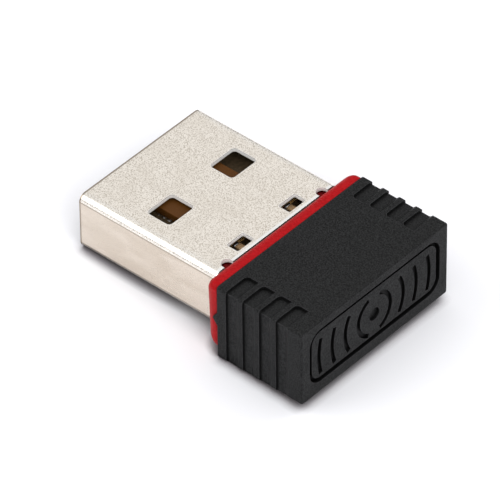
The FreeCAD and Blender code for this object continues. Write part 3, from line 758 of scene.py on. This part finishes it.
def nickel():
    material, t, shader = new_material("matte nickel")
    place = t.node("ShaderNodeSeparateXYZ", {0: t.millimetres()}).outputs
    across = t.math("ABSOLUTE", place[1])
    off_middle = t.math("ABSOLUTE", t.math("SUBTRACT", place[2], (SHELL_Z0 + SHELL_Z1) / 2))
    half_height = (SHELL_Z1 - SHELL_Z0) / 2
    sheared = sheared_mask(t, across, off_middle, half_height)
    before_end = t.spread(place[0], SHELL_REAR_X + 0.005, SHELL_REAR_X - 0.01)
    sheared = t.math("MULTIPLY", sheared, before_end)
    side = t.spread(across, SHELL_HALF - FOLD_RADIUS * 0.25, SHELL_HALF - 0.02)
    # Lower folds, painted darker below as painted shade.
    near_foot = t.spread(place[2], SHELL_Z0 + FOLD_RADIUS, SHELL_Z0 + FOLD_RADIUS * 0.6)
    lower_fold_shade = t.math("MULTIPLY", near_foot,
                   t.spread(across, SHELL_HALF - FOLD_RADIUS * 0.8, SHELL_HALF - FOLD_RADIUS * 0.5))
    low_on_side = t.spread(off_middle, half_height - FOLD_RADIUS, half_height - FOLD_RADIUS * 1.1)
    flank = t.math("MULTIPLY", side, low_on_side)
    near_side = t.spread(across, SHELL_HALF - FOLD_RADIUS * 1.35, SHELL_HALF - FOLD_RADIUS)
    near_face = t.spread(off_middle, half_height - FOLD_RADIUS, half_height - FOLD_RADIUS * 0.8)
    over_fold = t.math("MULTIPLY", near_side, near_face)
    # Thin band along the foot of each fold, painted dark as a painted reflection.
    from_line = t.math("ABSOLUTE", t.math("SUBTRACT", off_middle, half_height - FOLD_RADIUS * 0.95))
    fold_foot_reflection = t.math("MULTIPLY", t.spread(from_line, 0.075, 0.02),
                  t.spread(across, SHELL_HALF - FOLD_RADIUS * 0.4, SHELL_HALF - FOLD_RADIUS * 0.2))
    grain = use_group(t, GRAIN, Size_mm=0.08)
    edges = use_group(t, EDGES, Width_mm=0.15, Break_up=0.15)
    crease_shade = use_group(t, CREASE_SHADE, Reach_mm=0.35)
    flecks = t.spread(grain["Speckle"], 0.05, 0.6)
    face = t.blend(flecks, (0.56, 0.50, 0.42, 1), (0.985, 0.93, 0.855, 1))
    face = t.blend(t.math("MULTIPLY", grain["Cloud"], 0.25), face, (0.74, 0.675, 0.585, 1))
    # Painted reflection and shade: the narrow sides are darker and warmer than the wide faces, with faint
    # swirls.
    slanted = t.node("ShaderNodeMapping", {"Vector": t.millimetres(), "Rotation": (0, 0.6, 0),
                                           "Scale": (0.35, 1, 1)}).outputs[0]
    swirl_reflection = t.node("ShaderNodeTexNoise", {"Vector": slanted, "Scale": 0.9, "Detail": 3.0,
                                          "Distortion": 0.8}).outputs[0]
    swirl_reflection = t.spread(swirl_reflection, 0.35, 0.65)
    smooth = t.blend(swirl_reflection, (0.61, 0.53, 0.44, 1), (0.70, 0.62, 0.53, 1))
    smooth = t.blend(t.math("MULTIPLY", flecks, 0.12), smooth, (0.98, 0.93, 0.87, 1))
    colour = t.blend(flank, face, smooth)
    # Painted highlight: the folds are lighter.
    colour = t.blend(t.math("MULTIPLY", over_fold, 0.25), colour, (0.9, 0.88, 0.84, 1))
    behind_mouth = t.spread(place[0], MOUTH_X + 0.08, MOUTH_X + 0.16)
    # Edges lighter, partly as wear and partly as a painted highlight.
    colour = t.blend(t.math("MULTIPLY", edges["Mask"], 0.9), colour, (0.96, 0.95, 0.93, 1))
    # Painted shade: darker along the edge of the mouth.
    colour = t.blend(behind_mouth, (0.30, 0.25, 0.20, 1), colour)
    # Painted reflection: a thin dark line along the foot of each fold.
    colour = t.blend(t.math("MULTIPLY", fold_foot_reflection, 0.75), colour, (0.22, 0.16, 0.10, 1))
    # Painted shade: the lower folds darker.
    colour = t.blend(t.math("MULTIPLY", lower_fold_shade, 0.92), colour, (0.05, 0.035, 0.025, 1))
    # Painted shade: darker in creases.
    colour = t.blend(crease_shade["Mask"], colour, (0.16, 0.12, 0.09, 1))
    # Painted highlight: the sloped rear end is lighter.
    end_band = t.spread(place[0], SHELL_REAR_X - ROLLED_END - 0.04, SHELL_REAR_X - ROLLED_END + 0.04)
    colour = t.blend(t.math("MULTIPLY", end_band, before_end), colour, (0.99, 0.98, 0.96, 1))
    colour = t.blend(sheared, colour, (0.95, 0.94, 0.92, 1))
    t.tree.links.new(colour, shader.inputs["Base Color"])
    t.tree.links.new(t.math("SUBTRACT", 1.0, t.math("MULTIPLY", sheared, 0.85)), shader.inputs["Metallic"])
    rough = t.math("ADD", t.math("MULTIPLY", grain["Speckle"], 0.12), 0.34)
    burnished = t.math("MULTIPLY", t.math("MAXIMUM", t.math("MAXIMUM", over_fold, flank), end_band), 0.12)
    t.tree.links.new(t.math("SUBTRACT", rough, burnished), shader.inputs["Roughness"])
    grain_left = t.math("SUBTRACT", 1.0, t.math("MULTIPLY", t.math("MAXIMUM", over_fold, flank), 0.93))
    set_bump(t, shader, t.math("MULTIPLY", grain["Height"], grain_left), 0.8, 0.02)
    return material


# %% [markdown]
# ### Red and black plastic
# Both are moulded ABS. The red is smooth, with a low sheen. The black has a spark-eroded grain: tiny pits
# that catch the light as a speckle. Creases are painted darker, as painted shade, and the sharpest edges
# are painted a little lighter, partly as handling wear and partly as a painted highlight.

# %% Red and black plastic
def moulded_plastic(name, tones, grain_mm, rough, bump, specular, shade_reach_mm, wear_and_highlight):
    """Moulded ABS: speckled between two tones, with painted shade in creases and edges lighter as wear and
    as a painted highlight.
    """
    dark, light, crease_shade_tone, edge_tone = tones
    material, t, shader = new_material(name)
    grain = use_group(t, GRAIN, Size_mm=grain_mm)
    edges = use_group(t, EDGES, Width_mm=0.09, Break_up=0.5)
    crease_shade = use_group(t, CREASE_SHADE, Reach_mm=shade_reach_mm, Open_above=1.0)
    colour = t.blend(grain["Speckle"], dark, light)
    # Edges lighter, partly as wear and partly as a painted highlight.
    colour = t.blend(t.math("MULTIPLY", edges["Mask"], wear_and_highlight), colour, edge_tone)
    # Painted shade: darker in creases.
    colour = t.blend(crease_shade["Mask"], colour, crease_shade_tone)
    t.tree.links.new(colour, shader.inputs["Base Color"])
    roughness = t.math("ADD", t.math("MULTIPLY", grain["Cloud"], 0.1), rough)
    t.tree.links.new(roughness, shader.inputs["Roughness"])
    shader.inputs["Specular IOR Level"].default_value = specular
    set_bump(t, shader, grain["Height"], bump, 0.02)
    return material


# Each holds a dark and a light grain tone, the painted shade in creases and the painted highlight on edges.
RED_TONES = ((0.31, 0.002, 0.004, 1), (0.39, 0.005, 0.008, 1), (0.05, 0.0, 0.001, 1), (0.5, 0.05, 0.06, 1))
BLACK_TONES = ((0.002, 0.0021, 0.0022, 1), (0.022, 0.0225, 0.023, 1), (0.0015, 0.0015, 0.0015, 1),
               (0.05, 0.05, 0.053, 1))
MATERIALS = {
    "shell_steel": nickel(),
    "bezel_plastic": moulded_plastic("red abs", RED_TONES, 0.16, 0.34, 0.12, 0.07, 0.5, 0.3),
    "cover_plastic": moulded_plastic("black abs", BLACK_TONES, 0.09, 0.5, 0.8, 0.11, 0.6, 0.8),
}


# %% Simple finishes for the pieces inside
def plain_finish(name, dark, light, metallic, rough, grain_mm, bump):
    """A two-tone speckled finish for small parts."""
    material, t, shader = new_material(name)
    grain = use_group(t, GRAIN, Size_mm=grain_mm)
    t.tree.links.new(t.blend(grain["Speckle"], (*dark, 1), (*light, 1)), shader.inputs["Base Color"])
    shader.inputs["Metallic"].default_value = metallic
    shader.inputs["Specular IOR Level"].default_value = 0.12
    roughness = t.math("ADD", t.math("MULTIPLY", grain["Cloud"], 0.12), rough)
    t.tree.links.new(roughness, shader.inputs["Roughness"])
    set_bump(t, shader, grain["Height"], bump, 0.015)
    return material


INSIDE_FINISHES = {
    "tray_plastic": ("black insulator", (0.012, 0.012, 0.013), (0.02, 0.02, 0.022), 0, 0.4, 0.1, 0.3),
    "board_laminate": ("solder mask", (0.05, 0.036, 0.02), (0.075, 0.052, 0.03), 0, 0.35, 0.2, 0.2),
    "gold": ("gold plate", (0.85, 0.48, 0.16), (0.98, 0.66, 0.27), 0.5, 0.3, 0.2, 0.1),
    "copper": ("masked copper", (0.35, 0.16, 0.07), (0.5, 0.24, 0.1), 1, 0.3, 0.2, 0.1),
    "solder": ("tin", (0.5, 0.5, 0.5), (0.66, 0.66, 0.67), 1, 0.3, 0.15, 0.3),
    "chip_epoxy": ("brown epoxy", (0.065, 0.023, 0.003), (0.09, 0.033, 0.005), 0, 0.5, 0.06, 0.3),
    "ceramic_white": ("alumina", (0.6, 0.58, 0.5), (0.75, 0.72, 0.65), 0, 0.5, 0.1, 0.3),
    "capacitor_ceramic": ("tan ceramic", (0.35, 0.22, 0.11), (0.48, 0.32, 0.18), 0, 0.4, 0.1, 0.3),
    "resistor_film": ("resistor glaze", (0.015, 0.015, 0.017), (0.03, 0.03, 0.035), 0, 0.25, 0.1, 0.1),
    "ferrite": ("ferrite", (0.04, 0.04, 0.042), (0.08, 0.08, 0.085), 0, 0.55, 0.08, 0.4),
    "lid_metal": ("plated lid", (0.55, 0.53, 0.48), (0.7, 0.67, 0.62), 1, 0.3, 0.1, 0.2),
    "package_epoxy": ("black epoxy", (0.012, 0.012, 0.012), (0.025, 0.025, 0.025), 0, 0.5, 0.06, 0.4),
}
MATERIALS.update({slot: plain_finish(*values) for slot, values in INSIDE_FINISHES.items()})
print("finishes:", ", ".join(sorted(MATERIALS)))


# %% Handing the finishes out
def dress(piece, slot):
    """Gives every material slot of a piece one finish."""
    piece.data.materials.clear()
    piece.data.materials.append(MATERIALS[slot])


for name, node in NODES.items():
    dress(node, SLOT_OF[name])
for name, piece in inside.items():
    dress(piece, SLOT_OF[name])
for piece, slot in ((shell, "shell_steel"), (bezel, "bezel_plastic"), (cover, "cover_plastic")):
    dress(piece, slot)

# %% [markdown]
# ## Stage, light and camera
# The cover is deeper than the plug, so on a table the adapter tips forward until the plug's mouth touches.
# The part stays level here, as its frame says, and the table is tilted instead. It touches the lower lip of
# the mouth and the round foot of the bezel's rim, so its tilt is the slope from the lip to the middle of
# that rounding, plus the angle at which the rounding is seen from the lip. This gives the thin shadow at
# the tip and the wider one near the bezel.

# %% Floor
TABLE_REACH = 600.0
TO_FOOT = (BEZEL_X + RIM_FRONT - MOUTH_X, RIM_INSET + RIM_FRONT - SHELL_Z0)
TABLE_TILT = math.asin(RIM_FRONT / math.hypot(*TO_FOOT)) - math.atan2(TO_FOOT[1], TO_FOOT[0])
print("the table is tilted by", round(math.degrees(TABLE_TILT), 2), "degrees")


def floor_piece():
    """A plain table top that touches the mouth of the plug and the foot of the bezel's rim, with a painted
    contact shadow.
    """
    bm = bmesh.new()
    bmesh.ops.create_grid(bm, x_segments=1, y_segments=1, size=TABLE_REACH)
    bmesh.ops.rotate(bm, matrix=Matrix.Rotation(TABLE_TILT, 3, "Y"), verts=bm.verts)
    bmesh.ops.translate(bm, vec=(MOUTH_X, 0, SHELL_Z0), verts=bm.verts)
    bmesh.ops.scale(bm, vec=(MM, MM, MM), verts=bm.verts)
    mesh = bpy.data.meshes.new("table")
    bm.to_mesh(mesh)
    bm.free()
    table = bpy.data.objects.new("table", mesh)
    bpy.context.scene.collection.objects.link(table)
    material, t, shader = new_material("white table")
    # Painted shadow: the table is darker right beside the adapter, and darker still under the plug.
    contact_shadow = use_group(t, CREASE_SHADE, Reach_mm=0.85, Open_above=1.0)
    shadow_underneath = use_group(t, CREASE_SHADE, Reach_mm=3.0, Open_above=0.6)
    paper = t.blend(contact_shadow["Mask"], (0.93, 0.93, 0.96, 1), (0.3, 0.28, 0.3, 1))
    paper = t.blend(t.math("MULTIPLY", shadow_underneath["Mask"], 0.85), paper, (0.1, 0.09, 0.09, 1))
    t.tree.links.new(paper, shader.inputs["Base Color"])
    shader.inputs["Roughness"].default_value = 0.9
    shader.inputs["Specular IOR Level"].default_value = 0.1
    mesh.materials.append(material)


floor_piece()

# %% [markdown]
# A white sky lights everything evenly. It is dimmer close to the horizon, as in a studio where the paper
# ends, and that dark band is what draws a thin line along a shiny fold. The background itself stays white.

# %% Sky
SKY_STRENGTH = 0.87
HORIZON_STRENGTH = 0.08
HORIZON_TOP = 0.42


def studio_sky():
    """White overhead, dark at the horizon, and plain white behind the object."""
    world = bpy.data.worlds.new("studio")
    bpy.context.scene.world = world
    world.use_nodes = True
    t = Tree(world.node_tree)
    direction = t.node("ShaderNodeTexCoord").outputs["Generated"]
    height = t.node("ShaderNodeSeparateXYZ", {0: direction}).outputs[2]
    rising = t.spread(height, 0.05, HORIZON_TOP, HORIZON_STRENGTH, SKY_STRENGTH)
    seen = t.node("ShaderNodeLightPath").outputs["Is Camera Ray"]
    strength = t.node("ShaderNodeMix", {0: seen, 2: rising, 3: 1.0}, data_type="FLOAT").outputs[0]
    t.tree.links.new(strength, world.node_tree.nodes["Background"].inputs["Strength"])
    world.node_tree.nodes["Background"].inputs["Color"].default_value = (1, 1, 1, 1)


studio_sky()


# %% Lamps
def softbox(name, direction, distance, size, radiance):
    """A rectangular lamp that faces the adapter and never shows itself."""
    light = bpy.data.lights.new(name, "AREA")
    light.shape = "RECTANGLE"
    light.size, light.size_y = size
    light.energy = radiance * math.pi * size[0] * size[1]
    lamp = bpy.data.objects.new(name, light)
    bpy.context.scene.collection.objects.link(lamp)
    towards = Vector(direction).normalized()
    lamp.location = towards * distance
    lamp.rotation_euler = towards.to_track_quat("Z", "Y").to_euler()
    lamp.visible_camera = False
    print(name, "lamp:", round(light.energy, 3), "W")


softbox("key", (-0.52, -0.62, 0.62), 0.3, (0.2, 0.26), 1.8)
softbox("front", (0.75, -0.35, 0.6), 0.3, (0.2, 0.2), 3.0)
softbox("back", (0.22, 0.56, 0.75), 0.3, (0.1, 0.1), 3.0)

# %% Camera
AIM = Vector((0.33, -1.03, 3.57)) * MM
DISTANCE = 0.419
AZIMUTH, ELEVATION, ROLL = (math.radians(a) for a in (41.6, 41.12, -0.62))
camera_data = bpy.data.cameras.new("camera")
camera_data.sensor_width = 36.0
camera_data.lens = 461.5
camera = bpy.data.objects.new("camera", camera_data)
bpy.context.scene.collection.objects.link(camera)
away = Vector((math.sin(AZIMUTH) * math.cos(ELEVATION), -math.cos(AZIMUTH) * math.cos(ELEVATION),
               math.sin(ELEVATION)))
camera.location = AIM + away * DISTANCE
look = away.to_track_quat("Z", "Y").to_matrix().to_4x4()
camera.rotation_euler = (look @ Matrix.Rotation(ROLL, 4, "Z")).to_euler()
print("camera at", [round(v / MM) for v in camera.location], "mm")
bpy.context.scene.camera = camera
bpy.context.scene.view_settings.view_transform = "Standard"
